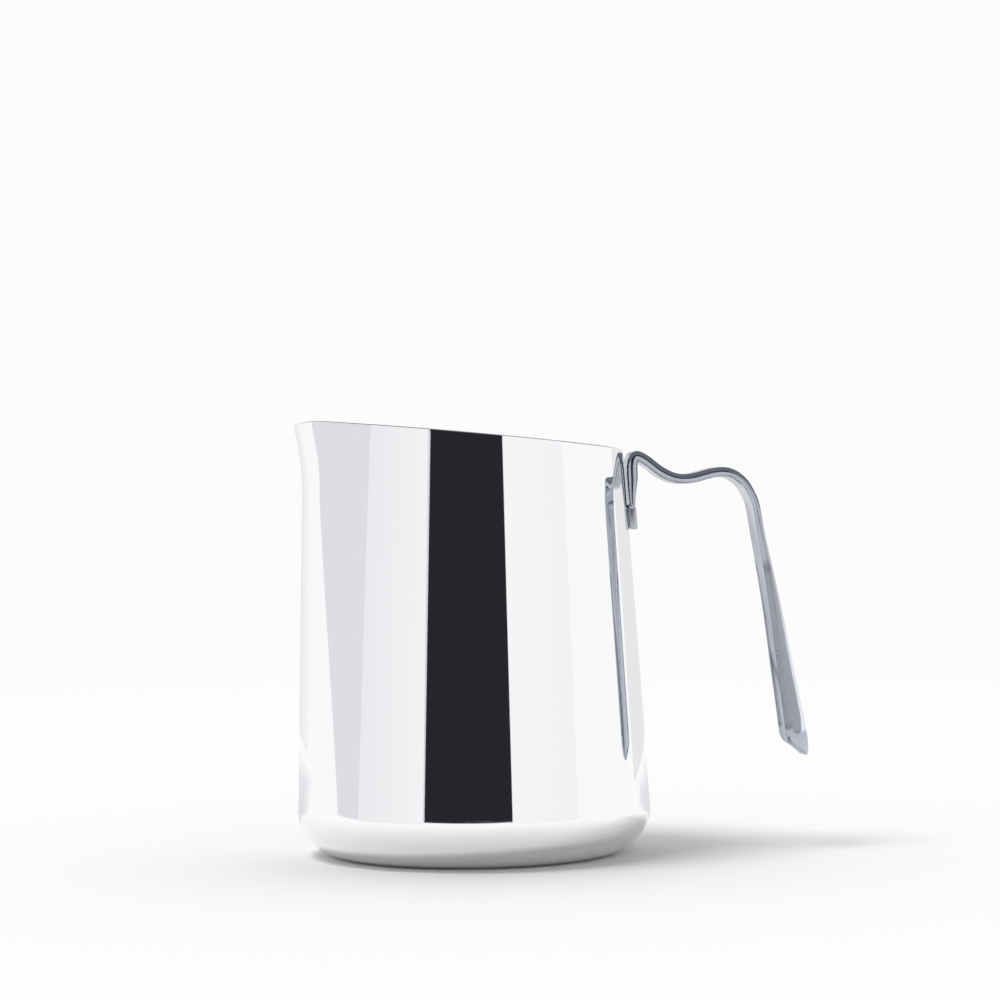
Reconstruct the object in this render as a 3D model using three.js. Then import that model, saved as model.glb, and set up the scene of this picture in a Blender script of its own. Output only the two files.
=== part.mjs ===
// Small pouring pot for melted wax: a drawn stainless steel cup with a spout lobe and a slanted rim,
// and an open handle bent from one flat bar, joined to the wall by a small pad.
// Millimetres, +Z up. The origin is the centre of the base, on the surface it stands on.
// The spout points to -X and the handle to +X.
import * as THREE from 'three';

// Cup: sheet, base and wall
const SHEET = 0.8;
const BASE_FLAT_RADIUS = 29.5;
const CORNER_WIDTH = 11.2;
const CORNER_HEIGHT = 10.4;
const WALL_TAPER = 0.06;
const WALL_BULGE = 0.00005;

// Spout lobe and lip, measured outwards from the round wall
const LOBE_TAPER = 0.0395;
const LOBE_EASE = 5;
const LIP_START = 83;
const LIP_HEIGHT = 16.5;
const LIP_FLARE = 2.3;
const LIP_POWER = 1.9;
const LOBE_SPREAD = THREE.MathUtils.degToRad(46);

// Rim: a slanted cut that droops a little at the tip of the lip
const RIM_HEIGHT = 96.5;
const RIM_SLOPE = 0.101;
const RIM_RADIUS = 35.2;
const RIM_REACH = 5.5;
const DROOP_START = 34;
const LIP_DROOP = 1.1;

// Handle bar: half width, thickness and dish along its length
const NECK_HALF_WIDTH = 5.4;
const GRIP_HALF_WIDTH = 6.5;
const NECK_THICKNESS = 1.25;
const LOOP_THICKNESS = 2.45;
const REST_THICKNESS = 2.25;
const GRIP_THICKNESS = 1.7;
const NECK_LENGTH = 7;
const LOOP_LENGTH = 10;
const FINGER_REST_LENGTH = 40;
const REST_THIN_START = 34;
const REST_THIN_END = 46;
const GRIP_LENGTH = 62;
const DISH_DEPTH = 6.1;
const DISH_POWER = 1.1;
const TOE_LENGTH = 6.2;
const TOE_HALF_WIDTH = 0.6;

// Pad between the neck and the wall
const PAD_BOTTOM = 74.4;
const PAD_HEIGHT = 5.1;
const PAD_THICKNESS = 1.75;
const PAD_HALF_WIDTH = 5;
const GAP = 0.3;

// Fineness of the faceted solids
const COLUMNS = 72;
const CORNER_STEPS = 6;
const WALL_STEPS = 12;
const BAR_STEPS_PER_POINT = 2;
const BAR_ACROSS = 6;
const BAR_EDGE_STEPS = 3;

const clamp = THREE.MathUtils.clamp;
const lerp = THREE.MathUtils.lerp;
const smooth = THREE.MathUtils.smoothstep;

// The corner's elliptical arc ends where it runs tangent to the tapered wall.
const CORNER_END = Math.atan((WALL_TAPER * CORNER_HEIGHT) / CORNER_WIDTH);
const WALL_FOOT = CORNER_HEIGHT * (1 + Math.sin(CORNER_END));
const WALL_FOOT_RADIUS = BASE_FLAT_RADIUS + CORNER_WIDTH * Math.cos(CORNER_END);

// Handle line in the XZ plane, along the bar's outer face: up the neck, over the loop,
// along the finger rest and down the grip to the toe.
const HANDLE_LINE = [
  [36.72, 79.85], [36.36, 83.8], [36.14, 87.6],
  [36.2, 90.15], [36.95, 92.05], [38.4, 92.75], [40.3, 91.95],
  [42.1, 90.65], [43.8, 89.2], [45.6, 88.05], [47.4, 87.25],
  [49.4, 87.0], [52, 87.35], [54.8, 88.15], [57.6, 88.6], [60.3, 88.3],
  [62.5, 87], [64.3, 85.2], [65.7, 82.6], [66.9, 79.6],
  [68.4, 73], [70.15, 65.8], [72.5, 54.9], [74.65, 43.5], [76.8, 32.4],
  [77.95, 26.4], [78.3, 23.6], [78.05, 21.1],
];

function wallRadius(z) {
  const rise = z - WALL_FOOT;
  return WALL_FOOT_RADIUS - WALL_TAPER * rise - WALL_BULGE * rise * rise;
}

// How far the middle of the spout lobe stands out of the round wall.
function lobeReach(z) {
  const rise = Math.max(0, z - WALL_FOOT);
  const eased = rise < LOBE_EASE ? (rise * rise) / (2 * LOBE_EASE) : rise - LOBE_EASE / 2;
  const lip = Math.max(0, (z - LIP_START) / LIP_HEIGHT);
  return LOBE_TAPER * eased + LIP_FLARE * lip ** LIP_POWER;
}

// Columns run anticlockwise from the middle of the spout.
function columnAngle(column) {
  return (2 * Math.PI * column) / COLUMNS;
}

// Share of the lobe's reach at an angle from the middle of the spout: a smooth swell that dies out.
function lobeShare(angle) {
  const fromSpout = Math.min(angle, 2 * Math.PI - angle);
  const spread = Math.min(1, fromSpout / LOBE_SPREAD);
  return (1 + Math.cos(Math.PI * spread)) / 2;
}

function outlinePoint(column, z, radius, reach) {
  const angle = columnAngle(column);
  const distance = radius + reach * lobeShare(angle);
  return new THREE.Vector3(-distance * Math.cos(angle), -distance * Math.sin(angle), z);
}

// Height of the slanted rim over one column, with its droop at the tip of the lip.
function rimHeight(column) {
  const angle = columnAngle(column);
  const forward = Math.cos(angle) * (RIM_RADIUS + RIM_REACH * lobeShare(angle));
  const tip = RIM_RADIUS + RIM_REACH;
  const droop = clamp((forward - DROOP_START) / (tip - DROOP_START), 0, 1);
  return RIM_HEIGHT + RIM_SLOPE * forward - LIP_DROOP * droop * droop;
}

function ring(pointOfColumn) {
  return Array.from({ length: COLUMNS }, (_, column) => pointOfColumn(column));
}

// Rings of one side of the sheet, from the flat base up to the rim.
function sheetRings(inset) {
  const rings = [];
  for (let step = 0; step <= CORNER_STEPS; step += 1) {
    const angle = lerp(-Math.PI / 2, CORNER_END, step / CORNER_STEPS);
    const radius = BASE_FLAT_RADIUS + (CORNER_WIDTH - inset) * Math.cos(angle);
    const z = CORNER_HEIGHT + (CORNER_HEIGHT - inset) * Math.sin(angle);
    rings.push(ring((column) => outlinePoint(column, z, radius, 0)));
  }
  for (let step = 1; step <= WALL_STEPS; step += 1) {
    const share = 1 - (1 - step / WALL_STEPS) ** 1.6;
    rings.push(ring((column) => {
      const z = lerp(WALL_FOOT, rimHeight(column), share);
      return outlinePoint(column, z, wallRadius(z) - inset, lobeReach(z));
    }));
  }
  return rings;
}

// A closed body through a row of rings with the same number of points, capped at both ends.
function skin(rings) {
  const count = rings[0].length;
  const middle = (points) => points.reduce((sum, point) => sum.add(point), new THREE.Vector3())
    .divideScalar(count);
  const points = [...rings.flat(), middle(rings[0]), middle(rings[rings.length - 1])];
  const firstMiddle = points.length - 2;
  const lastMiddle = points.length - 1;
  const lastStart = (rings.length - 1) * count;
  const triangles = [];
  for (let i = 0; i < count; i += 1) {
    const next = (i + 1) % count;
    triangles.push(firstMiddle, next, i);
    triangles.push(lastMiddle, lastStart + i, lastStart + next);
    for (let row = 0; row < lastStart; row += count) {
      triangles.push(row + i, row + next, row + count + next);
      triangles.push(row + i, row + count + next, row + count + i);
    }
  }
  const geometry = new THREE.BufferGeometry().setFromPoints(points);
  geometry.setIndex(triangles);
  return geometry;
}

function steel(color, roughness) {
  return new THREE.MeshStandardMaterial({ color, roughness, metalness: 1 });
}

function potBody() {
  const outer = sheetRings(0);
  const inner = sheetRings(SHEET).reverse();
  const mesh = new THREE.Mesh(skin([...outer, ...inner]), steel(0xe2e3e8, 0.05));
  mesh.name = 'pot_body';
  return mesh;
}

function barHalfWidth(along, length) {
  const width = lerp(NECK_HALF_WIDTH, GRIP_HALF_WIDTH, smooth(along, LOOP_LENGTH, FINGER_REST_LENGTH));
  const toe = 1 - Math.min(1, (length - along) / TOE_LENGTH);
  return Math.max(TOE_HALF_WIDTH, width * Math.sqrt(1 - toe * toe));
}

function barThickness(along) {
  const neck = lerp(NECK_THICKNESS, LOOP_THICKNESS, smooth(along, 0, NECK_LENGTH));
  const rest = lerp(neck, REST_THICKNESS, smooth(along, LOOP_LENGTH, LOOP_LENGTH * 2));
  return lerp(rest, GRIP_THICKNESS, smooth(along, REST_THIN_START, REST_THIN_END));
}

// Curve of the dish across the bar: its depth at the edge of the full width is dish * width ** 2.
function barDish(along, length) {
  const down = clamp((along - (length - GRIP_LENGTH)) / GRIP_LENGTH, 0, 1);
  return (DISH_DEPTH * down ** DISH_POWER) / GRIP_HALF_WIDTH ** 2;
}

// The bar's section as (across, out) pairs: the outer face, a round edge, the inner face, an edge.
function barSection(halfWidth, thickness, dish) {
  const span = halfWidth - thickness / 2;
  const normalAt = (across) => new THREE.Vector2(2 * dish * across, 1).normalize();
  const face = (across, depth) => new THREE.Vector2(across, -dish * across * across)
    .addScaledVector(normalAt(across), -depth);
  const points = [];
  for (let i = BAR_ACROSS; i >= -BAR_ACROSS; i -= 1) {
    points.push(face((span * i) / BAR_ACROSS, 0));
  }
  points.push(...edgeArc(-span, -1));
  for (let i = -BAR_ACROSS; i <= BAR_ACROSS; i += 1) {
    points.push(face((span * i) / BAR_ACROSS, thickness));
  }
  points.push(...edgeArc(span, 1).reverse());
  return points;

  function edgeArc(across, side) {
    const centre = face(across, thickness / 2);
    const normal = normalAt(across);
    const outwards = new THREE.Vector2(normal.y, -normal.x).multiplyScalar(side);
    return Array.from({ length: BAR_EDGE_STEPS }, (_, step) => {
      const angle = (Math.PI * (step + 1)) / (BAR_EDGE_STEPS + 1);
      return centre.clone()
        .addScaledVector(normal, (thickness / 2) * Math.cos(angle))
        .addScaledVector(outwards, (thickness / 2) * Math.sin(angle));
    });
  }
}

function handleStrap() {
  const line = new THREE.CatmullRomCurve3(HANDLE_LINE.map(([x, z]) => new THREE.Vector3(x, 0, z)));
  const steps = (HANDLE_LINE.length - 1) * BAR_STEPS_PER_POINT;
  const length = line.getLength();
  const rings = [];
  let along = 0;
  let last = line.getPoint(0);
  for (let step = 0; step <= steps; step += 1) {
    const point = line.getPoint(step / steps);
    const tangent = line.getTangent(step / steps);
    const out = new THREE.Vector3(-tangent.z, 0, tangent.x);
    along += point.distanceTo(last);
    last = point;
    const halfWidth = barHalfWidth(along, length);
    const thickness = Math.min(barThickness(along), 1.9 * halfWidth);
    const section = barSection(halfWidth, thickness, barDish(along, length));
    rings.push(section.map((pair) => new THREE.Vector3(0, pair.x, 0).add(point).addScaledVector(out, pair.y)));
  }
  const mesh = new THREE.Mesh(skin(rings), steel(0xb4b9c4, 0.16));
  mesh.name = 'handle_strap';
  return mesh;
}

// A short block, curved to the wall and leaning with it.
function handlePad() {
  const inner = wallRadius(PAD_BOTTOM) + GAP;
  const spread = PAD_HALF_WIDTH / inner;
  const plan = new THREE.Shape();
  plan.absarc(-inner, 0, inner + PAD_THICKNESS, -spread, spread, false);
  plan.absarc(-inner, 0, inner, spread, -spread, true);
  const block = new THREE.ExtrudeGeometry(plan, { depth: PAD_HEIGHT, bevelEnabled: false, curveSegments: 6 });
  const mesh = new THREE.Mesh(block, steel(0xb9bec8, 0.2));
  mesh.name = 'handle_pad';
  mesh.position.set(inner, 0, PAD_BOTTOM);
  mesh.rotation.y = -Math.atan(WALL_TAPER);
  return mesh;
}

const pot = new THREE.Group();
const handle = new THREE.Group();
handle.add(handleStrap(), handlePad());
pot.add(potBody(), handle);

export default pot;
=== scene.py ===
# %% [markdown]
# # A small steel pot for melting and pouring wax
#
# The real object is a cup pressed from one sheet of stainless steel and polished like a mirror,
# with an open handle bent from one flat bar. A small pad joins the bar to the wall.
#
# The CAD model already says where everything is. This script makes the fine surfaces and finishes
# around it: a mirror shows every facet, so each piece is remade much finer than the CAD solid.
#
# Sizes are in metres. The spout points to -X, the handle to +X, and the pot stands on Z = 0.

# %% Load the frame
import math

import bpy
from mathutils import Matrix, Vector


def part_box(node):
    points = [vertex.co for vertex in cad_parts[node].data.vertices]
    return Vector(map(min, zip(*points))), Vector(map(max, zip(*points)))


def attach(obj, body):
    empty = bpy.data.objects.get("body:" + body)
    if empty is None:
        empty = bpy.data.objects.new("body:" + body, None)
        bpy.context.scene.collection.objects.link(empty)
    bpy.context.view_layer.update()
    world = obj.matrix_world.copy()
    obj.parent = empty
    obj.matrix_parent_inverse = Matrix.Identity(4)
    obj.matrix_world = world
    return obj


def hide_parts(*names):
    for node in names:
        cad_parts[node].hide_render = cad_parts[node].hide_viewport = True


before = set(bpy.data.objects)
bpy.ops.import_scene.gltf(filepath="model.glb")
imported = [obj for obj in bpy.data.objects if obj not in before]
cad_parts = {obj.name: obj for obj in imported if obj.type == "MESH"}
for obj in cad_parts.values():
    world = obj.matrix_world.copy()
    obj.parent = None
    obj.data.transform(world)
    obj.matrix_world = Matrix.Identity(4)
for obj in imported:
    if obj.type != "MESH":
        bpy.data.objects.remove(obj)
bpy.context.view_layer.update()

MM = 0.001
cup_low, cup_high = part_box("pot_body")
pad_low, pad_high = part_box("handle_pad")
print("cup", [round(v / MM, 1) for v in (*cup_low, *cup_high)], "mm")

# %% [markdown]
# ## Writing a shape rule with nodes
#
# The cup and the bar both follow a rule, so Geometry Nodes make them: a flat grid of points goes in,
# and the rule moves each point to its place. A rule is mostly arithmetic, and a chain of Math nodes
# is hard to read. It could be drawn by hand in the node editor, but then a script can't repeat it.
# A small wrapper is used instead: it lets a line such as `a * b + c` add the Math nodes for us.

# %% A wrapper that turns arithmetic into Math nodes
class Rule:
    """A number for each point, inside a node tree."""

    def __init__(self, tree, socket):
        self.tree = tree
        self.socket = socket

    def math(self, operation, *others):
        node = self.tree.nodes.new("ShaderNodeMath")
        node.operation = operation
        for slot, value in zip(node.inputs, (self, *others)):
            plug(self.tree, slot, value)
        return Rule(self.tree, node.outputs[0])

    def __add__(self, other):
        return self.math("ADD", other)

    def __sub__(self, other):
        return self.math("SUBTRACT", other)

    def __rsub__(self, other):
        return self.math("MULTIPLY", -1) + other

    def __mul__(self, other):
        return self.math("MULTIPLY", other)

    def __truediv__(self, other):
        return self.math("DIVIDE", other)

    def __pow__(self, other):
        return self.math("POWER", other)

    __radd__ = __add__

    def cos(self):
        return self.math("COSINE")

    def sin(self):
        return self.math("SINE")

    def root(self):
        return self.math("SQRT")

    def least(self, other):
        return self.math("MINIMUM", other)

    def most(self, other):
        return self.math("MAXIMUM", other)

    def within(self, low, high):
        return self.most(low).least(high)

    def ease(self, start, end, first, last):
        """Goes smoothly from first to last while this number goes from start to end."""
        node = self.tree.nodes.new("ShaderNodeMapRange")
        node.interpolation_type = "SMOOTHSTEP"
        for slot, value in zip(node.inputs, (self, start, end, first, last)):
            plug(self.tree, slot, value)
        return Rule(self.tree, node.outputs[0])


def plug(tree, slot, value):
    """Links a rule or a socket to an input, or sets the input to a plain value."""
    if isinstance(value, Rule):
        value = value.socket
    if isinstance(value, bpy.types.NodeSocket):
        tree.links.new(value, slot)
    else:
        slot.default_value = value


# %% Helpers that start, fill and run a node tree
SOCKET_KINDS = {
    float: "NodeSocketFloat",
    int: "NodeSocketInt",
    bpy.types.Material: "NodeSocketMaterial",
}


def add_node(tree, kind, inputs=None, **settings):
    node = tree.nodes.new(kind)
    for name, value in settings.items():
        setattr(node, name, value)
    for name, value in (inputs or {}).items():
        plug(tree, node.inputs[name], value)
    return node


def start_tree(name, inputs):
    """A new Geometry Nodes tree with one named input for each size, and its geometry."""
    tree = bpy.data.node_groups.new(name, "GeometryNodeTree")
    tree.interface.new_socket("Geometry", in_out="INPUT", socket_type="NodeSocketGeometry")
    for label, value in inputs.items():
        tree.interface.new_socket(label, in_out="INPUT", socket_type=SOCKET_KINDS[type(value)])
    tree.interface.new_socket("Geometry", in_out="OUTPUT", socket_type="NodeSocketGeometry")
    source = tree.nodes.new("NodeGroupInput")
    return tree, source, {label: Rule(tree, source.outputs[label]) for label in inputs}


def end_tree(tree, geometry, materials):
    """Ends the tree: real geometry, smooth, with its materials. materials pairs a finish with a mask."""
    real = add_node(tree, "GeometryNodeRealizeInstances", {"Geometry": geometry})
    smooth = add_node(tree, "GeometryNodeSetShadeSmooth", {"Geometry": real.outputs[0]})
    last = smooth.outputs[0]
    for finish, mask in materials:
        paint = add_node(tree, "GeometryNodeSetMaterial", {"Geometry": last, "Material": finish})
        if mask is not None:
            plug(tree, paint.inputs["Selection"], mask)
        last = paint.outputs[0]
    tree.links.new(last, tree.nodes.new("NodeGroupOutput").inputs[0])


def run_tree(name, start_mesh, tree, inputs):
    """Runs the tree on a mesh and returns its result as a plain mesh object."""
    source = bpy.data.objects.new(name + "_start", start_mesh)
    bpy.context.scene.collection.objects.link(source)
    modifier = source.modifiers.new(name, "NODES")
    modifier.node_group = tree
    for item in tree.interface.items_tree:
        if item.in_out == "INPUT" and item.name in inputs:
            modifier[item.identifier] = inputs[item.name]
    evaluated = source.evaluated_get(bpy.context.evaluated_depsgraph_get())
    mesh = bpy.data.meshes.new_from_object(evaluated)
    mesh.name = name
    bpy.data.objects.remove(source)
    piece = bpy.data.objects.new(name, mesh)
    bpy.context.scene.collection.objects.link(piece)
    print(name, len(mesh.polygons), "faces,", [m and m.name for m in mesh.materials])
    return piece


def chain_mesh(name, points):
    """A mesh that is only a row of points joined by edges, for a tree to read."""
    mesh = bpy.data.meshes.new(name)
    mesh.from_pydata(points, [(i, i + 1) for i in range(len(points) - 1)], [])
    return mesh


# %% [markdown]
# ## Marks of polishing and use
#
# A mirror finish is never perfect: a buffing wheel leaves hair lines, and fingers leave faint
# smudges. They could be painted on an image, but the script keeps no images. All the steel
# finishes share these marks, so they are one node group, and each finish sets its own amounts.
# It reads Object coordinates, so the marks stay on the metal when the camera moves.

# %% The shared group of marks
def hair_lines(tree, place, turn, scale):
    """Very long, thin noise cells: a mask that is white along a few hair lines."""
    turned = add_node(tree, "ShaderNodeMapping", {"Vector": place, "Rotation": turn, "Scale": scale})
    noise = add_node(tree, "ShaderNodeTexNoise", {"Vector": turned.outputs[0], "Scale": 1.0, "Detail": 3.0})
    return Rule(tree, noise.outputs["Fac"]).ease(0.62, 0.78, 0.0, 1.0)


def make_marks_group():
    tree = bpy.data.node_groups.new("polish marks", "ShaderNodeTree")
    for label in ("Hair lines", "Smudges", "Waviness"):
        tree.interface.new_socket(label, in_out="INPUT", socket_type="NodeSocketFloat")
    for label in ("Roughness", "Height", "Shade"):
        tree.interface.new_socket(label, in_out="OUTPUT", socket_type="NodeSocketFloat")
    source = tree.nodes.new("NodeGroupInput")
    place = tree.nodes.new("ShaderNodeTexCoord").outputs["Object"]
    lines = hair_lines(tree, place, (0.1, 0.2, 0.0), (60.0, 60.0, 9000.0))
    lines = lines + hair_lines(tree, place, (0.5, 1.1, 0.3), (40.0, 5000.0, 9000.0)) * 0.6
    smudge_noise = add_node(tree, "ShaderNodeTexNoise", {"Vector": place, "Scale": 45.0, "Detail": 4.0})
    smudge = Rule(tree, smudge_noise.outputs["Fac"]).ease(0.45, 0.75, 0.0, 1.0)
    wave_noise = add_node(tree, "ShaderNodeTexNoise", {"Vector": place, "Scale": 90.0, "Detail": 1.0})
    wave = Rule(tree, wave_noise.outputs["Fac"])
    lines = lines * source.outputs["Hair lines"]
    smudge = smudge * source.outputs["Smudges"]
    ends = tree.nodes.new("NodeGroupOutput")
    plug(tree, ends.inputs["Roughness"], lines * 0.10 + smudge * 0.06)
    plug(tree, ends.inputs["Height"], wave * source.outputs["Waviness"] - lines * 0.15)
    plug(tree, ends.inputs["Shade"], lines * 0.05 + smudge * 0.03)
    print("group", tree.name, len(tree.nodes), "nodes")
    return tree


polish_marks = make_marks_group()

# %% [markdown]
# ## Steel finishes
#
# Polished steel is a Metallic surface with a very low roughness. Its colour is what it gives back
# of the light, so a mirror wall is nearly white and a hand-finished bar is a little darker and
# softer. The inside of the cup isn't buffed: it keeps the fine rings of the lathe brush.

# %% A function for every steel finish
def steel(name, color, roughness, hair=0.5, smudges=0.5, waviness=0.3, depth=0.00002):
    material = bpy.data.materials.new(name)
    material.use_nodes = True
    tree = material.node_tree
    surface = tree.nodes["Principled BSDF"]
    marks = add_node(tree, "ShaderNodeGroup", node_tree=polish_marks)
    amounts = {"Hair lines": hair, "Smudges": smudges, "Waviness": waviness}
    for label, value in amounts.items():
        marks.inputs[label].default_value = value
    shade = add_node(tree, "ShaderNodeMix", data_type="RGBA")
    shade.inputs["A"].default_value = (*color, 1.0)
    shade.inputs["B"].default_value = (*(0.55 * c for c in color), 1.0)
    tree.links.new(marks.outputs["Shade"], shade.inputs["Factor"])
    tree.links.new(shade.outputs["Result"], surface.inputs["Base Color"])
    surface.inputs["Metallic"].default_value = 1.0
    rough = Rule(tree, marks.outputs["Roughness"]) + roughness
    plug(tree, surface.inputs["Roughness"], rough)
    bump = add_node(tree, "ShaderNodeBump", {"Strength": 1.0, "Distance": depth})
    tree.links.new(marks.outputs["Height"], bump.inputs["Height"])
    tree.links.new(bump.outputs[0], surface.inputs["Normal"])
    print("finish", name)
    return material


mirror_steel = steel("mirror_steel", (0.965, 0.968, 0.978), 0.02, hair=0.08, smudges=0.25, waviness=0.1)
handle_steel = steel("handle_steel", (0.465, 0.49, 0.545), 0.16, hair=0.4, smudges=0.6)
pad_steel = steel("pad_steel", (0.56, 0.58, 0.64), 0.32, hair=0.6, smudges=0.6)
weld_steel = steel("weld_steel", (0.50, 0.52, 0.57), 0.22, hair=0.2, smudges=1.0, waviness=1.0)


# %% Painted shade and highlights along the handle
def follow_painted_light(material):
    tree = material.node_tree
    surface = tree.nodes["Principled BSDF"]
    # The handle's base colour is scaled by painted light: painted shade on the flank, and painted
    # highlights on the crown, hollow and toe.
    painted_light = add_node(tree, "ShaderNodeAttribute", attribute_name="painted_light")
    old_color = surface.inputs["Base Color"].links[0].from_socket
    scaled = add_node(tree, "ShaderNodeVectorMath", operation="SCALE")
    tree.links.new(old_color, scaled.inputs[0])
    tree.links.new(painted_light.outputs["Fac"], scaled.inputs["Scale"])
    tree.links.new(scaled.outputs[0], surface.inputs["Base Color"])


follow_painted_light(handle_steel)

# %% [markdown]
# The satin inside needs rings round the axis. A noise that is stretched a thousand times along the
# ring gives them: its coordinates are the distance from the axis and the height, with only a little
# of the angle mixed in, so a ring is long but not endless.

# %% The brushed inside
def brushed_inside():
    material = steel("satin_inside", (0.80, 0.81, 0.83), 0.24, hair=0.3, smudges=0.8)
    tree = material.node_tree
    surface = tree.nodes["Principled BSDF"]
    place = tree.nodes.new("ShaderNodeTexCoord").outputs["Object"]
    parts = add_node(tree, "ShaderNodeSeparateXYZ", {"Vector": place})
    x, y, z = (Rule(tree, parts.outputs[i]) for i in range(3))
    radius = (x * x + y * y).root()
    ring = add_node(tree, "ShaderNodeCombineXYZ")
    plug(tree, ring.inputs[0], radius * 3000.0 + x * 12.0)
    plug(tree, ring.inputs[1], z * 3000.0 + y * 12.0)
    noise = add_node(tree, "ShaderNodeTexNoise", {"Vector": ring.outputs[0], "Scale": 1.0, "Detail": 2.0})
    rings = Rule(tree, noise.outputs["Fac"])
    old_rough = surface.inputs["Roughness"].links[0].from_socket
    plug(tree, surface.inputs["Roughness"], Rule(tree, old_rough) + rings * 0.16 - 0.06)
    bump = surface.inputs["Normal"].links[0].from_node
    old_height = bump.inputs["Height"].links[0].from_socket
    plug(tree, bump.inputs["Height"], Rule(tree, old_height) + rings * 0.5)
    return material


satin_inside = brushed_inside()

# %% [markdown]
# ## The cup
#
# A press makes the real cup in three steps: it draws a round cup from a flat disc, pushes a lobe
# out at the front for the spout, and trims the rim at a slant. A lathe alone can't make it, because
# the lobe isn't round, and sculpting wouldn't give a surface true enough for a mirror.
#
# The same three steps work here. A profile gives the round cup: its outside, its rounded rim and
# its inside. The node tree turns the profile about the axis, pushes out the lobe by a smooth swell
# that dies away on both sides, and stretches the wall up to the slanted rim.

# %% Sizes of the cup
SHEET = 0.8 * MM
RIM_SQUARENESS = 0.45
CORNER_WIDTH = 11.2 * MM
CORNER_HEIGHT = 10.4 * MM
WALL_TAPER = 0.06
WALL_BULGE = 0.05
RIM_HEIGHT = 96.47 * MM
CORNER_END = math.atan(WALL_TAPER * CORNER_HEIGHT / CORNER_WIDTH)
WALL_FOOT = CORNER_HEIGHT * (1 + math.sin(CORNER_END))
BASE_FLAT = cup_high.y - CORNER_WIDTH
FOOT_RADIUS = BASE_FLAT + CORNER_WIDTH * math.cos(CORNER_END)
CUP_SHAPE = {
    "Columns": 320,
    "Wall foot": WALL_FOOT,
    "Rim height": RIM_HEIGHT,
    "Rim slope": 0.101,
    "Rim radius": 35.2 * MM,
    "Rim reach": 5.5 * MM,
    "Droop start": 34 * MM,
    "Lip droop": 1.1 * MM,
    "Lobe spread": math.radians(46),
    "Lobe taper": 0.0395,
    "Lobe ease": 5 * MM,
    "Lip start": 83 * MM,
    "Lip height": 16.5 * MM,
    "Lip flare": 2.3 * MM,
    "Outside": mirror_steel,
    "Inside": satin_inside,
}
print("wall foot", round(WALL_FOOT / MM, 2), "mm up, radius", round(FOOT_RADIUS / MM, 2), "mm")


# %% The profile of the round cup
def wall_radius(z):
    rise = z - WALL_FOOT
    return FOOT_RADIUS - WALL_TAPER * rise - WALL_BULGE * rise * rise


def sheet_side(inset, flat_steps=14, corner_steps=36, wall_steps=90):
    """One side of the sheet, from the middle of the base to just under the rim."""
    points = [(BASE_FLAT * i / flat_steps, inset) for i in range(flat_steps)]
    for i in range(corner_steps + 1):
        angle = -math.pi / 2 + (CORNER_END + math.pi / 2) * i / corner_steps
        radius = BASE_FLAT + (CORNER_WIDTH - inset) * math.cos(angle)
        points.append((radius, CORNER_HEIGHT + (CORNER_HEIGHT - inset) * math.sin(angle)))
    for i in range(1, wall_steps + 1):
        z = WALL_FOOT + (RIM_HEIGHT - SHEET / 2 - WALL_FOOT) * (1 - (1 - i / wall_steps) ** 1.4)
        points.append((wall_radius(z) - inset, z))
    return points


def cup_profile(rim_steps=20):
    outer = sheet_side(0.0)
    inner = sheet_side(SHEET)
    middle = (outer[-1][0] + inner[-1][0]) / 2
    rim = []
    for i in range(1, rim_steps):
        across, up = math.cos(math.pi * i / rim_steps), math.sin(math.pi * i / rim_steps)
        across = math.copysign(abs(across) ** RIM_SQUARENESS, across)
        rim.append((middle + SHEET / 2 * across, RIM_HEIGHT - SHEET / 2 * (1 - up ** RIM_SQUARENESS)))
    return outer + rim + inner[::-1], len(outer) + len(rim) // 2


profile, rim_row = cup_profile()
print("profile", len(profile), "points, rim at", rim_row)


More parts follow.
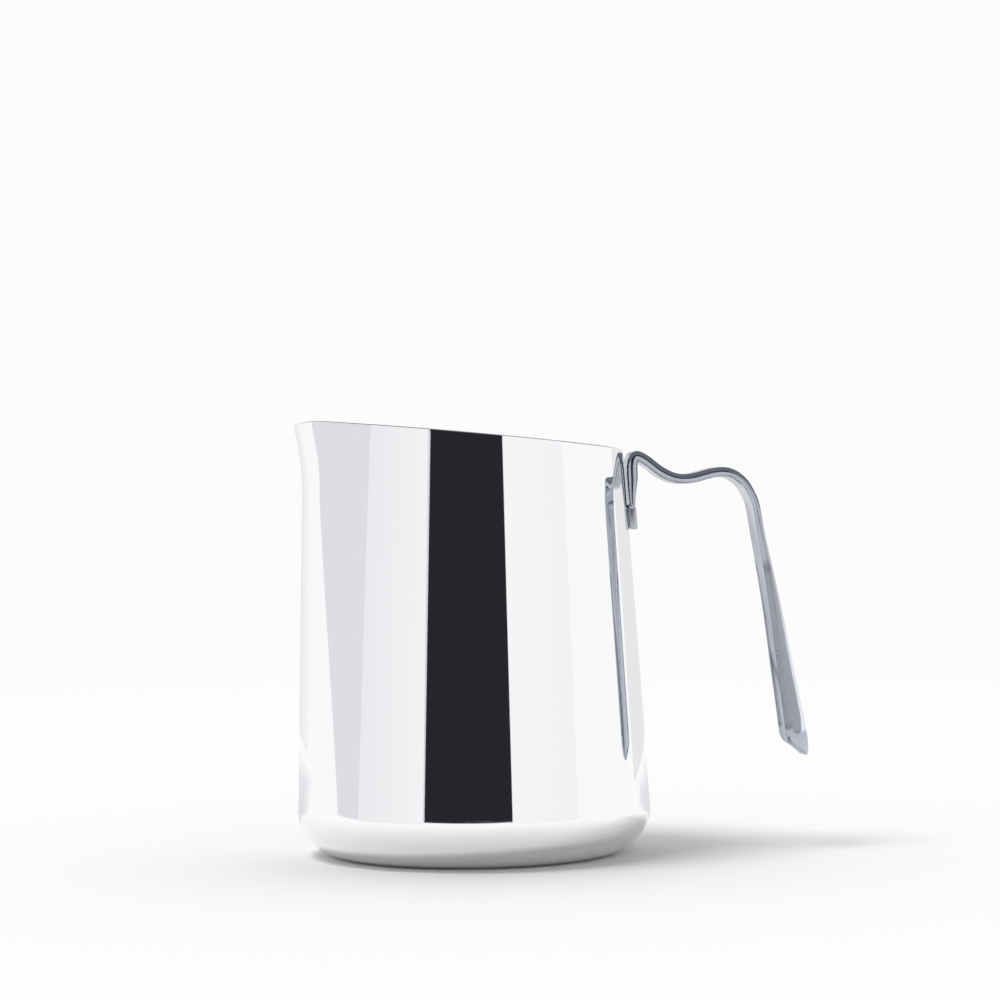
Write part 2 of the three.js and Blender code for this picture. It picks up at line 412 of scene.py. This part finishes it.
# %% The tree that turns, presses and trims the cup
def cup_tree():
    tree, source, size = start_tree("pressed cup", {**CUP_SHAPE, "Rim row": rim_row})
    outline = source.outputs["Geometry"]
    rows = add_node(tree, "GeometryNodeAttributeDomainSize", {"Geometry": outline})
    row_count = Rule(tree, rows.outputs["Point Count"])
    columns = size["Columns"]
    grid = add_node(tree, "GeometryNodeMeshGrid", {"Vertices X": columns + 1, "Vertices Y": row_count})
    index = Rule(tree, tree.nodes.new("GeometryNodeInputIndex").outputs[0])
    row = index.math("MODULO", row_count)
    angle = index.math("DIVIDE", row_count).math("FLOOR") / columns * math.tau
    start = tree.nodes.new("GeometryNodeInputPosition").outputs[0]
    sampled = add_node(tree, "GeometryNodeSampleIndex", data_type="FLOAT_VECTOR")
    plug(tree, sampled.inputs["Geometry"], outline)
    plug(tree, sampled.inputs["Value"], start)
    plug(tree, sampled.inputs["Index"], row)
    parts = add_node(tree, "ShaderNodeSeparateXYZ", {"Vector": sampled.outputs[0]})
    radius, height = Rule(tree, parts.outputs[0]), Rule(tree, parts.outputs[2])

    spread = (angle.least(math.tau - angle) / size["Lobe spread"]).least(1.0)
    swell = ((spread * math.pi).cos() + 1.0) * 0.5

    forward = angle.cos() * (size["Rim radius"] + size["Rim reach"] * swell)
    tip = size["Rim radius"] + size["Rim reach"]
    droop = ((forward - size["Droop start"]) / (tip - size["Droop start"])).within(0.0, 1.0)
    rim = size["Rim height"] + size["Rim slope"] * forward - size["Lip droop"] * droop * droop

    foot = size["Wall foot"]
    rise = (height - foot).most(0.0)
    new_rise = rise * (rim - foot) / (size["Rim height"] - foot)
    leaned = radius + (rise - new_rise) * WALL_TAPER + (rise * rise - new_rise * new_rise) * WALL_BULGE
    ramp = new_rise.least(size["Lobe ease"])
    eased = ramp * ramp / (size["Lobe ease"] * 2.0) + (new_rise - size["Lobe ease"]).most(0.0)
    lip = ((new_rise + foot - size["Lip start"]) / size["Lip height"]).most(0.0)
    reach = size["Lobe taper"] * eased + size["Lip flare"] * lip ** 1.9

    distance = leaned + reach * swell
    place = add_node(tree, "ShaderNodeCombineXYZ")
    plug(tree, place.inputs[0], distance * angle.cos() * -1.0)
    plug(tree, place.inputs[1], distance * angle.sin() * -1.0)
    plug(tree, place.inputs[2], height - rise + new_rise)
    moved = add_node(tree, "GeometryNodeSetPosition", {"Geometry": grid.outputs["Mesh"]})
    plug(tree, moved.inputs["Position"], place.outputs[0])

    face_row = index.math("MODULO", row_count - 1.0)
    inside = add_node(tree, "GeometryNodeStoreNamedAttribute", data_type="FLOAT", domain="FACE")
    plug(tree, inside.inputs["Geometry"], moved.outputs[0])
    inside.inputs["Name"].default_value = "inside"
    plug(tree, inside.inputs["Value"], face_row.math("GREATER_THAN", size["Rim row"]))
    welded = add_node(tree, "GeometryNodeMergeByDistance", {"Geometry": inside.outputs[0]})
    welded.inputs["Distance"].default_value = SHEET / 400
    mask = add_node(tree, "GeometryNodeInputNamedAttribute", data_type="FLOAT")
    mask.inputs["Name"].default_value = "inside"
    finishes = [(size["Outside"], None), (size["Inside"], mask.outputs[0])]
    end_tree(tree, welded.outputs[0], finishes)
    return tree


profile_mesh = chain_mesh("cup profile", [(r, 0.0, z) for r, z in profile])
cup = run_tree("cup", profile_mesh, cup_tree(), {**CUP_SHAPE, "Rim row": rim_row})

# %% [markdown]
# A closed shell has to face outwards, or renderers and printers see it inside out. The volume says
# which way it faces: it is the sum over the faces, and it comes out negative on a shell that is
# turned round. So one short check serves every piece.


# %% Check which way a shell faces
def face_outwards(piece):
    mesh = piece.data
    mesh.calc_loop_triangles()
    corners = ([mesh.vertices[i].co for i in triangle.vertices] for triangle in mesh.loop_triangles)
    volume = sum(a.dot(b.cross(c)) for a, b, c in corners) / 6
    if volume < 0:
        mesh.flip_normals()
    print(piece.name, "encloses", round(abs(volume) * 1e6, 3), "cm3, turned" if volume < 0 else "cm3")


face_outwards(cup)

# %% [markdown]
# ## The handle bar
#
# One flat bar makes the whole handle. It goes up behind the wall, turns over in a tight loop, runs
# out as a wavy rest for the finger, and comes down as a long open grip. Along the grip it is dished
# like a spoon, deeper and deeper towards a round toe.
#
# A curve with a bevel profile would give a bar of one section only. Here the section changes all
# the way along, so a node tree carries it: each point of a grid knows how far along the bar it is
# and how far round the section, and the tree works out the rest from the centre line.

# %% Sizes of the bar
HANDLE_LINE = (
    (36.72, 79.85), (36.36, 83.8), (36.14, 87.6),
    (36.2, 90.15), (36.95, 92.05), (38.4, 92.75), (40.3, 91.95),
    (42.1, 90.65), (43.8, 89.2), (45.6, 88.05), (47.4, 87.25),
    (49.4, 87.0), (52, 87.35), (54.8, 88.15), (57.6, 88.6), (60.3, 88.3),
    (62.5, 87), (64.3, 85.2), (65.7, 82.6), (66.9, 79.6),
    (68.4, 73), (70.15, 65.8), (72.5, 54.9), (74.65, 43.5), (76.8, 32.4),
    (77.95, 26.4), (78.3, 23.6), (78.05, 21.1),
)
BAR_SHAPE = {
    "Stations": 520,
    "Round": 128,
    "Smoothing": 30,
    "Neck half width": 5.4 * MM,
    "Grip half width": 6.5 * MM,
    "Neck thickness": 1.25 * MM,
    "Loop thickness": 2.45 * MM,
    "Rest thickness": 2.25 * MM,
    "Grip thickness": 1.7 * MM,
    "Neck length": 7 * MM,
    "Loop length": 10 * MM,
    "Finger rest length": 40 * MM,
    "Grip length": 62 * MM,
    "Dish depth": 6.1 * MM,
    "Dish power": 1.1,
    "Toe length": 6.2 * MM,
    "Toe half width": 0.35 * MM,
    "Edge squareness": 0.5,
    "Crown depth": 0.9 * MM,
    "Edge line": 0.35 * MM,
    "U start": 0.80,
    "U end": 0.90,
    "Finish": handle_steel,
}


# %% The tree that sweeps the changing section
# Amounts of painted light on the handle: painted shade on the flank and its outline, and painted highlights
# on the crown, hollow and toe.
FLANK_PAINTED_SHADE = 0.30
OUTLINE_PAINTED_SHADE = 0.30
CROWN_PAINTED_HIGHLIGHT = 0.80
HOLLOW_PAINTED_HIGHLIGHT = 0.12
TOE_PAINTED_HIGHLIGHT = 0.12
U_END_BLUR = 0.01
SPLINE_STEPS = 24
SOFT_ENDS = 30.0


def bar_line(tree, source, size):
    """The smooth centre line, and its length."""
    curve = add_node(tree, "GeometryNodeMeshToCurve", {"Mesh": source.outputs["Geometry"]})
    spline = add_node(tree, "GeometryNodeCurveSplineType", {"Curve": curve.outputs[0]})
    spline.spline_type = "CATMULL_ROM"
    fine = add_node(tree, "GeometryNodeSetSplineResolution", {"Geometry": spline.outputs[0]})
    fine.inputs["Resolution"].default_value = SPLINE_STEPS
    even = add_node(tree, "GeometryNodeResampleCurve", {"Curve": fine.outputs[0]})
    plug(tree, even.inputs["Count"], size["Stations"])
    place = tree.nodes.new("GeometryNodeInputPosition").outputs[0]
    parameter = tree.nodes.new("GeometryNodeSplineParameter")
    share = Rule(tree, parameter.outputs["Factor"])
    blur = add_node(tree, "GeometryNodeBlurAttribute", data_type="FLOAT_VECTOR")
    plug(tree, blur.inputs["Value"], place)
    weight = (share * SOFT_ENDS).least((1.0 - share) * SOFT_ENDS).within(0.0, 1.0)
    plug(tree, blur.inputs["Weight"], weight)
    plug(tree, blur.inputs["Iterations"], size["Smoothing"])
    soft = add_node(tree, "GeometryNodeSetPosition", {"Geometry": even.outputs[0]})
    plug(tree, soft.inputs["Position"], blur.outputs[0])
    length = add_node(tree, "GeometryNodeCurveLength", {"Curve": soft.outputs[0]})
    return soft.outputs[0], Rule(tree, length.outputs[0])


def squared(wave, power):
    """Swells a sine or cosine, so that a round edge becomes a squarer one."""
    return wave.math("ABSOLUTE") ** power * wave.math("SIGN")


def painted_flank_light(size, depth, share_across, down, turn):
    """Painted light across the bar: painted shade on the outer flank that ends in a U, with a darker
    painted outline, and painted highlights on the crown above it, in the hollow and at the toe.
    """
    toward_end = ((down - size["U start"]) / (size["U end"] - size["U start"])).within(0.0, 1.0)
    bend = 1.0 - (1.0 - toward_end * toward_end).root()
    crown_edge = size["Crown depth"] * (1.0 + bend)
    below_crown = depth.ease(crown_edge, crown_edge + size["Edge line"], 0.0, 1.0)
    inside_edge = (share_across + bend * 0.2).ease(1.02, 1.10, 1.0, 0.0)
    before_end = down.ease(size["U end"] - U_END_BLUR, size["U end"] + U_END_BLUR, 1.0, 0.0)
    outer = turn.math("LESS_THAN", 1.0)
    inner = turn.math("GREATER_THAN", 2.0) * turn.math("LESS_THAN", 3.0)
    painted_flank_shade = below_crown * inside_edge * before_end * (1.0 - inner)
    line = painted_flank_shade * (1.0 - painted_flank_shade) * 4.0
    crown_highlight = (1.0 - below_crown) * down.ease(0.25, 0.6, 0.0, 1.0) * before_end * outer
    toe = down.ease(size["U end"], 1.0, 0.0, TOE_PAINTED_HIGHLIGHT)
    hollow_highlight = inner * down.ease(0.1, 0.45, 0.0, 1.0)
    darker = painted_flank_shade * FLANK_PAINTED_SHADE + line * OUTLINE_PAINTED_SHADE
    return 1.0 - darker + crown_highlight * CROWN_PAINTED_HIGHLIGHT + hollow_highlight * HOLLOW_PAINTED_HIGHLIGHT + toe


def bar_tree():
    tree, source, size = start_tree("bent bar", BAR_SHAPE)
    line, length = bar_line(tree, source, size)
    stations, around = size["Stations"], size["Round"]
    grid = add_node(tree, "GeometryNodeMeshGrid", {"Vertices X": stations, "Vertices Y": around + 1.0})
    index = Rule(tree, tree.nodes.new("GeometryNodeInputIndex").outputs[0])
    station = (index / (around + 1.0)).math("FLOOR")
    turn = index.math("MODULO", around + 1.0) / around * 4.0
    share = ((station - 1.0) / (stations - 3.0)).within(0.0, 1.0)
    along = share * length

    on_line = add_node(tree, "GeometryNodeSampleCurve", {"Curves": line})
    on_line.mode = "FACTOR"
    on_line.use_all_curves = False
    plug(tree, on_line.inputs["Factor"], share)
    tangent = add_node(tree, "ShaderNodeSeparateXYZ", {"Vector": on_line.outputs["Tangent"]})
    tangent_x, tangent_z = Rule(tree, tangent.outputs[0]), Rule(tree, tangent.outputs[2])

    rest_end = size["Finger rest length"]
    loop_end = size["Loop length"]
    width = along.ease(loop_end, rest_end, size["Neck half width"], size["Grip half width"])
    toe = 1.0 - ((length - along) / size["Toe length"]).least(1.0)
    half_width = (width * (1.0 - toe * toe).most(0.0).root()).most(size["Toe half width"])
    neck = along.ease(0.0, size["Neck length"], size["Neck thickness"], size["Loop thickness"])
    rest = along.ease(loop_end, loop_end * 2.0, neck, size["Rest thickness"])
    grip = along.ease(rest_end - loop_end * 0.6, rest_end + loop_end * 0.6, rest, size["Grip thickness"])
    thickness = grip.least(half_width * 1.9)
    down = ((along - length + size["Grip length"]) / size["Grip length"]).within(0.0, 1.0)
    half_grip = size["Grip half width"]
    dish = size["Dish depth"] * down ** size["Dish power"] / (half_grip * half_grip)

    across_share = (turn * 2.0 - 1.0).within(-1.0, 1.0) - (turn - 2.0).within(0.0, 1.0) * 2.0
    swing = ((turn - 1.0).within(0.0, 1.0) + (turn - 3.0).within(0.0, 1.0)) * math.pi
    half = thickness * 0.5
    across = (half_width - half) * across_share
    lean = dish * across * 2.0
    slant = (lean * lean + 1.0).root()
    normal_across, normal_out = lean / slant, slant ** -1.0
    cap = (station.most(0.0).least(1.0)) * ((stations - 1.0 - station).within(0.0, 1.0))
    power = 1.0 - (down * 4.0).least((1.0 - down) * 9.0).least(1.0) * size["Edge squareness"]
    up = squared(swing.cos(), power)
    side = squared(swing.sin(), power)
    edge_across = up * normal_across + side * normal_out
    edge_out = up * normal_out - side * normal_across
    point_across = (across - half * normal_across + half * edge_across) * cap
    out_rest = (half * normal_out * -1.0) - dish * across * across + half * edge_out
    point_out = (out_rest + half) * cap - half

    offset = add_node(tree, "ShaderNodeCombineXYZ")
    plug(tree, offset.inputs[0], tangent_z * point_out * -1.0)
    plug(tree, offset.inputs[1], point_across)
    plug(tree, offset.inputs[2], tangent_x * point_out)
    place = add_node(tree, "ShaderNodeVectorMath", operation="ADD")
    tree.links.new(on_line.outputs["Position"], place.inputs[0])
    tree.links.new(offset.outputs[0], place.inputs[1])
    moved = add_node(tree, "GeometryNodeSetPosition", {"Geometry": grid.outputs["Mesh"]})
    plug(tree, moved.inputs["Position"], place.outputs[0])
    share_across = across_share.math("ABSOLUTE")
    # The painted shade and highlights are stored on the points, where they darken and lighten the handle's
    # colour.
    tone = painted_flank_light(size, dish * across * across, share_across, down, turn)
    toned = add_node(tree, "GeometryNodeStoreNamedAttribute", data_type="FLOAT", domain="POINT")
    plug(tree, toned.inputs["Geometry"], moved.outputs[0])
    toned.inputs["Name"].default_value = "painted_light"
    plug(tree, toned.inputs["Value"], tone)
    welded = add_node(tree, "GeometryNodeMergeByDistance", {"Geometry": toned.outputs[0]})
    welded.inputs["Distance"].default_value = 0.002 * MM
    end_tree(tree, welded.outputs[0], [(size["Finish"], None)])
    return tree


line_mesh = chain_mesh("handle line", [(x * MM, 0.0, z * MM) for x, z in HANDLE_LINE])
bar = run_tree("handle_bar", line_mesh, bar_tree(), BAR_SHAPE)
face_outwards(bar)

# %% [markdown]
# ## The pad and its weld
#
# The neck of the bar ends on a small block that hugs the wall, and a bead of weld metal closes the
# corner between them. The block is a few dozen points and a Bevel modifier, because it has no rule
# beyond the wall's curve. A real bead is a row of overlapping ripples, one for each dab of the
# torch, so a node tree sets flattened balls along a line, each a little different.

# %% The pad
PAD_GAP = 0.3 * MM
PAD_THICKNESS = 1.73 * MM
PAD_SIDE = 5 * MM
PAD_EDGE = 0.4 * MM
PAD_BOTTOM = pad_low.z + 0.03 * MM
PAD_TOP = pad_high.z - 0.06 * MM


def pad_block(columns=16):
    verts, faces = [], []
    for z in (PAD_BOTTOM, PAD_TOP):
        for out in (PAD_GAP, PAD_GAP + PAD_THICKNESS):
            radius = wall_radius(z) + out
            for i in range(columns + 1):
                y = PAD_SIDE * (2 * i / columns - 1)
                verts.append((math.sqrt(radius * radius - y * y), y, z))
    row = columns + 1
    for i in range(columns):
        a, b, c, d = i, row + i, 2 * row + i, 3 * row + i
        faces += [(a, a + 1, b + 1, b), (c, d, d + 1, c + 1)]
        faces += [(a, c, c + 1, a + 1), (b, b + 1, d + 1, d)]
    faces.append((0, row, 3 * row, 2 * row))
    faces.append((columns, 2 * row + columns, 3 * row + columns, row + columns))
    mesh = bpy.data.meshes.new("pad_block")
    mesh.from_pydata(verts, [], faces)
    mesh.materials.append(pad_steel)
    block = bpy.data.objects.new("pad_block", mesh)
    bpy.context.scene.collection.objects.link(block)
    bevel = block.modifiers.new("soft edges", "BEVEL")
    bevel.width = PAD_EDGE
    bevel.segments = 4
    bevel.limit_method = "ANGLE"
    bevel.angle_limit = math.radians(50)
    evaluated = block.evaluated_get(bpy.context.evaluated_depsgraph_get())
    done = bpy.data.meshes.new_from_object(evaluated)
    block.modifiers.clear()
    block.data = done
    for polygon in done.polygons:
        polygon.use_smooth = True
    print("pad_block", len(done.polygons), "faces")
    return block


pad_piece = pad_block()
face_outwards(pad_piece)

# %% The weld bead
BEAD_SHAPE = {
    "Ripples": 15,
    "Half length": 4.7 * MM,
    "Ball": 0.72 * MM,
    "Seed": 4,
    "Finish": weld_steel,
}


def bead_tree():
    tree, source, size = start_tree("weld bead", BEAD_SHAPE)
    line = add_node(tree, "GeometryNodeMeshToPoints", {"Mesh": source.outputs["Geometry"]})
    ball = add_node(tree, "GeometryNodeMeshIcoSphere", {"Radius": size["Ball"]})
    ball.inputs["Subdivisions"].default_value = 3
    squash = add_node(tree, "FunctionNodeRandomValue", data_type="FLOAT_VECTOR")
    squash.inputs["Min"].default_value = (0.92, 0.62, 0.85)
    squash.inputs["Max"].default_value = (1.08, 0.78, 1.10)
    plug(tree, squash.inputs["Seed"], size["Seed"])
    places = {"Points": line.outputs[0], "Instance": ball.outputs[0]}
    dabs = add_node(tree, "GeometryNodeInstanceOnPoints", places)
    plug(tree, dabs.inputs["Scale"], squash.outputs["Value"])
    end_tree(tree, dabs.outputs[0], [(size["Finish"], None)])
    return tree


def bead_line(z, out):
    count, half = BEAD_SHAPE["Ripples"], BEAD_SHAPE["Half length"]
    radius = wall_radius(z) + out
    sides = [half * (2 * i / (count - 1) - 1) for i in range(count)]
    return [(math.sqrt(radius * radius - y * y), y, z) for y in sides]


bead_mesh = chain_mesh("bead line", bead_line(PAD_TOP + 0.15 * MM, PAD_GAP + 0.75 * MM))
bead = run_tree("weld_bead", bead_mesh, bead_tree(), BEAD_SHAPE)
face_outwards(bead)

# %% Let the new pieces stand for the CAD solids
fine_pieces = (
    (cup, "pot_body", "polished_wall"),
    (bar, "handle_strap", "polished_handle"),
    (pad_piece, "handle_pad", "pad_steel"),
)
for piece, node, finish in fine_pieces:
    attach(piece, "root")
    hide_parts(node)
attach(bead, "root")

# %% [markdown]
# ## Studio
#
# A mirror has no look of its own: it shows the studio. So the studio is part of the finish. The
# room is white, and curved cards stand round the pot. A black flag on the camera's side makes the
# dark stripe down the front, and grey cards on the left make the soft bands. Cards show only in
# reflections, so they don't shade the floor or hide the pot from another side.

# %% Camera
CAMERA_AZIMUTH = math.radians(-4)
CAMERA_DISTANCE = 695 * MM
CAMERA_HEIGHT = 81.6 * MM
CAMERA_ASIDE = 6.9 * MM
CAMERA_ROLL = math.radians(-0.75)
camera_data = bpy.data.cameras.new("camera")
camera_data.lens = 108
camera_data.sensor_width = 36
camera = bpy.data.objects.new("camera", camera_data)
bpy.context.scene.collection.objects.link(camera)
turn = Matrix.Rotation(CAMERA_AZIMUTH, 4, "Z")
camera.matrix_world = (
    turn
    @ Matrix.Translation((CAMERA_ASIDE, -CAMERA_DISTANCE, CAMERA_HEIGHT))
    @ Matrix.Rotation(math.pi / 2, 4, "X")
    @ Matrix.Rotation(CAMERA_ROLL, 4, "Z")
)
bpy.context.scene.camera = camera

# %% White room
WHITE = (0.972, 0.972, 0.972)
ROOM_DIMMING = 0.33
world = bpy.data.worlds.new("white room")
world.use_nodes = True
room = world.node_tree.nodes["Background"]
room.inputs["Color"].default_value = (*WHITE, 1.0)
light_path = world.node_tree.nodes.new("ShaderNodeLightPath")
on_paper = Rule(world.node_tree, light_path.outputs["Is Diffuse Ray"])
plug(world.node_tree, room.inputs["Strength"], 1.0 - on_paper * ROOM_DIMMING)
bpy.context.scene.world = world
bpy.context.scene.view_settings.view_transform = "Standard"


# %% Floor
# The paper's colour is darkened round the pot's foot as a painted contact shadow. It is strongest towards
# the camera, weaker at the sides and absent behind.
PAPER = 0.93
CONTACT_RADIUS = 42 * MM
CONTACT_REACH = 19 * MM
CONTACT_SHADE_DEPTH = 0.5
UNDER_POT_BLUR = 12 * MM
SHADE_IN_FRONT = 0.4
SHADE_AT_RIGHT = 0.05
SHADE_ALL_ROUND = 0.2
FADE_START = 0.25
FADE_END = 0.9


def floor_material():
    """Matt white paper with a painted contact shadow round the pot's foot, fading into the white of the
    room far from the pot.
    """
    material = bpy.data.materials.new("floor_paper")
    material.use_nodes = True
    tree = material.node_tree
    paper = tree.nodes["Principled BSDF"]
    paper.inputs["Roughness"].default_value = 1.0
    paper.inputs["Specular IOR Level"].default_value = 0.0
    place = tree.nodes.new("ShaderNodeTexCoord").outputs["Object"]
    distance = add_node(tree, "ShaderNodeVectorMath", {0: place}, operation="LENGTH")
    away = Rule(tree, distance.outputs["Value"])
    fade = away.ease(FADE_START, FADE_END, 0.0, 1.0)
    sides = add_node(tree, "ShaderNodeSeparateXYZ", {"Vector": place})
    toward_camera = Rule(tree, sides.outputs[1]) / away * -SHADE_IN_FRONT
    to_right = Rule(tree, sides.outputs[0]) / away * SHADE_AT_RIGHT
    shade_lean = (toward_camera + to_right + SHADE_ALL_ROUND).most(0.0)
    # Painted contact shadow: the paper is darker close to the foot, and the darkening fades out under the
    # pot and further away.
    painted_contact_shade = ((away - CONTACT_RADIUS).most(0.0) / CONTACT_REACH * -1.0).math("EXPONENT")
    under_pot = away.ease(CONTACT_RADIUS - UNDER_POT_BLUR, CONTACT_RADIUS, 0.0, 1.0)
    painted_contact_shade = painted_contact_shade * under_pot * shade_lean
    paper_tone = (1.0 - painted_contact_shade * CONTACT_SHADE_DEPTH) * PAPER
    grey = add_node(tree, "ShaderNodeCombineColor")
    for slot in grey.inputs[:3]:
        plug(tree, slot, paper_tone)
    tree.links.new(grey.outputs[0], paper.inputs["Base Color"])
    glow = add_node(tree, "ShaderNodeEmission", {"Color": (*WHITE, 1.0)})
    blend = add_node(tree, "ShaderNodeMixShader", {"Fac": fade, 1: paper.outputs[0], 2: glow.outputs[0]})
    tree.links.new(blend.outputs[0], tree.nodes["Material Output"].inputs["Surface"])
    return material


FLOOR_SIZE = 30.0
floor_mesh = bpy.data.meshes.new("floor")
corners = [(x * FLOOR_SIZE, y * FLOOR_SIZE, 0.0) for x, y in ((-1, -1), (1, -1), (1, 1), (-1, 1))]
floor_mesh.from_pydata(corners, [], [(0, 1, 2, 3)])
floor_mesh.materials.append(floor_material())
floor = bpy.data.objects.new("floor", floor_mesh)
bpy.context.scene.collection.objects.link(floor)

# %% Dim ceiling
CEILING_RADIUS = 3.0
CEILING_START = math.radians(6.5)
CEILING_END = math.radians(10)
CEILING_DEGREES = (6, 6.5, 7, 7.5, 8, 8.5, 9, 9.5, 10, 12, 15, 20, 30, 40, 50, 60, 70, 80, 90)
DIM = (0.25, 0.265, 0.30)


def glow_material(name):
    """A card's own light, as strong as its tone attribute says."""
    material = bpy.data.materials.new(name)
    material.use_nodes = True
    tree = material.node_tree
    tree.nodes.remove(tree.nodes["Principled BSDF"])
    tone = add_node(tree, "ShaderNodeAttribute", attribute_name="tone")
    glow = add_node(tree, "ShaderNodeEmission", {"Color": tone.outputs["Color"]})
    tree.links.new(glow.outputs[0], tree.nodes["Material Output"].inputs["Surface"])
    return material


def stage_sheet(name, verts, tones, rows, columns):
    """A grid of points as a sheet that shows only in reflections."""
    faces = []
    for row in range(rows - 1):
        for column in range(columns - 1):
            a = row * columns + column
            faces.append((a, a + 1, a + columns + 1, a + columns))
    mesh = bpy.data.meshes.new(name)
    mesh.from_pydata(verts, [], faces)
    attribute = mesh.attributes.new("tone", "FLOAT_COLOR", "POINT")
    attribute.data.foreach_set("color", [v for tone in tones for v in (*tone, 1.0)])
    mesh.materials.append(glow_material(name))
    piece = bpy.data.objects.new(name, mesh)
    bpy.context.scene.collection.objects.link(piece)
    piece.visible_camera = False
    piece.visible_diffuse = False
    piece.visible_shadow = False


def blend(first, second, share):
    share = min(max(share, 0.0), 1.0)
    return tuple(a + (b - a) * share for a, b in zip(first, second))


def ceiling(columns=73):
    verts, tones = [], []
    for degrees in CEILING_DEGREES:
        rise = math.radians(degrees)
        tone = blend(WHITE, DIM, (rise - CEILING_START) / (CEILING_END - CEILING_START))
        for column in range(columns):
            around = math.tau * column / (columns - 1)
            flat = CEILING_RADIUS * math.cos(rise)
            height = CEILING_RADIUS * math.sin(rise)
            verts.append((flat * math.cos(around), flat * math.sin(around), height))
            tones.append(tone)
    stage_sheet("dim_ceiling", verts, tones, len(CEILING_DEGREES), columns)


ceiling()

# %% Cards
FAR_CARD = 1.2
NEAR_CARD = 0.4


def card(name, distance, rows, first_tone, last_tone, steps=24):
    """A curved card round the pot. Each row is a height and the card's two edges there, in degrees:
    zero is towards the camera and + is to its right. The tone goes from the first edge to the last."""
    verts, tones = [], []
    for height, start, end in rows:
        for i in range(steps + 1):
            share = i / steps
            angle = math.radians(start + (end - start) * share) + CAMERA_AZIMUTH
            verts.append((distance * math.sin(angle), -distance * math.cos(angle), height))
            tones.append(blend(first_tone, last_tone, share))
    stage_sheet(name, verts, tones, len(rows), steps + 1)


BLACK = (0.019, 0.020, 0.025)
FLAG_EDGE = (0.62, 0.64, 0.71)
FLAG_EDGE_OUTSIDE = (0.80, 0.81, 0.86)
GREY = (0.745, 0.75, 0.79)
FLAG_ROWS = ((0.0, -31.0, 24.6), (0.03, -30.9, 24.6), (0.28, -28.1, 24.5), (0.6, -28.0, 24.5))
FLAG_EDGE_WIDTH = 2.0
EDGE_ROWS = [(height, start - FLAG_EDGE_WIDTH, start) for height, start, end in FLAG_ROWS]
LEFT_GREY_ROWS = ((0.0, -94, -76.2), (0.1, -112, -76.2), (0.2, -114, -76.2))
SOFT_LEFT_ROWS = ((0.0, -76.2, -31.0), (0.2, -76.2, -28.5))
SOFT_RIGHT_ROWS = ((0.0, 24.0, 67.5), (0.1, 24.0, 70), (0.2, 24.0, 72))
BACK_LEFT_ROWS = ((0.0, -178, -133), (0.2, -178, -133))
BACK_RIGHT_ROWS = ((0.0, 126, 178), (0.2, 131, 178))
# The top edge of the white card slants down to the right.
WHITE_ROWS = (
    (0.0, 60, 135), (0.19, 60, 130), (0.215, 60, 113),
    (0.235, 60, 95), (0.25, 60, 80), (0.285, 60, 68),
)

card("black_flag", FAR_CARD, FLAG_ROWS, BLACK, BLACK)
card("flag_edge", FAR_CARD, EDGE_ROWS, FLAG_EDGE_OUTSIDE, FLAG_EDGE)
card("left_grey", NEAR_CARD, LEFT_GREY_ROWS, GREY, GREY)
card("left_soft_grey", NEAR_CARD, SOFT_LEFT_ROWS, (0.84, 0.845, 0.86), (0.92, 0.92, 0.93))
card("back_left", NEAR_CARD, BACK_LEFT_ROWS, (0.74, 0.74, 0.76), (0.93, 0.93, 0.94))
card("right_soft_grey", NEAR_CARD, SOFT_RIGHT_ROWS, (0.945, 0.945, 0.955), (0.915, 0.915, 0.93))
card("right_white", FAR_CARD, WHITE_ROWS, WHITE, WHITE)
card("back_right", NEAR_CARD, BACK_RIGHT_ROWS, (0.82, 0.82, 0.83), (0.80, 0.80, 0.82))
print("cards on stage")

# %% Bands on the floor behind the pot
FAN_HEIGHT = 0.4 * MM
FAN_TONES = (
    (124, WHITE), (134, GREY), (158, GREY), (159.5, WHITE), (168, WHITE), (169, BLACK), (182, BLACK),
    (183, WHITE), (194, WHITE), (195.5, GREY), (224, GREY), (236, WHITE),
)
FAN_ROWS = ((0.05, 0.0), (0.12, 0.0), (0.22, 0.15), (0.34, 1.0))


def floor_fan():
    """Bands that lie on the floor behind the pot, so that the wall reads as metal from there too."""
    verts, tones = [], []
    for radius, fading in FAN_ROWS:
        for degrees, tone in FAN_TONES:
            angle = math.radians(degrees) + CAMERA_AZIMUTH
            verts.append((radius * math.sin(angle), -radius * math.cos(angle), FAN_HEIGHT))
            tones.append(blend(tone, WHITE, fading))
    stage_sheet("floor_fan", verts, tones, len(FAN_ROWS), len(FAN_TONES))


floor_fan()

# %% Lights
KEY_DIRECTION = (-0.35, -0.10, 0.93)
KEY_SOFTNESS = math.radians(22)
KEY_STRENGTH = 1.38


def soft_sun(name, direction, softness, strength):
    """An even light over the whole floor, from one side. softness is how wide the source looks."""
    data = bpy.data.lights.new(name, "SUN")
    data.angle = softness
    data.energy = strength
    light = bpy.data.objects.new(name, data)
    light.rotation_euler = (-Vector(direction)).to_track_quat("-Z", "Y").to_euler()
    light.visible_glossy = False
    bpy.context.scene.collection.objects.link(light)


soft_sun("key_light", KEY_DIRECTION, KEY_SOFTNESS, KEY_STRENGTH)
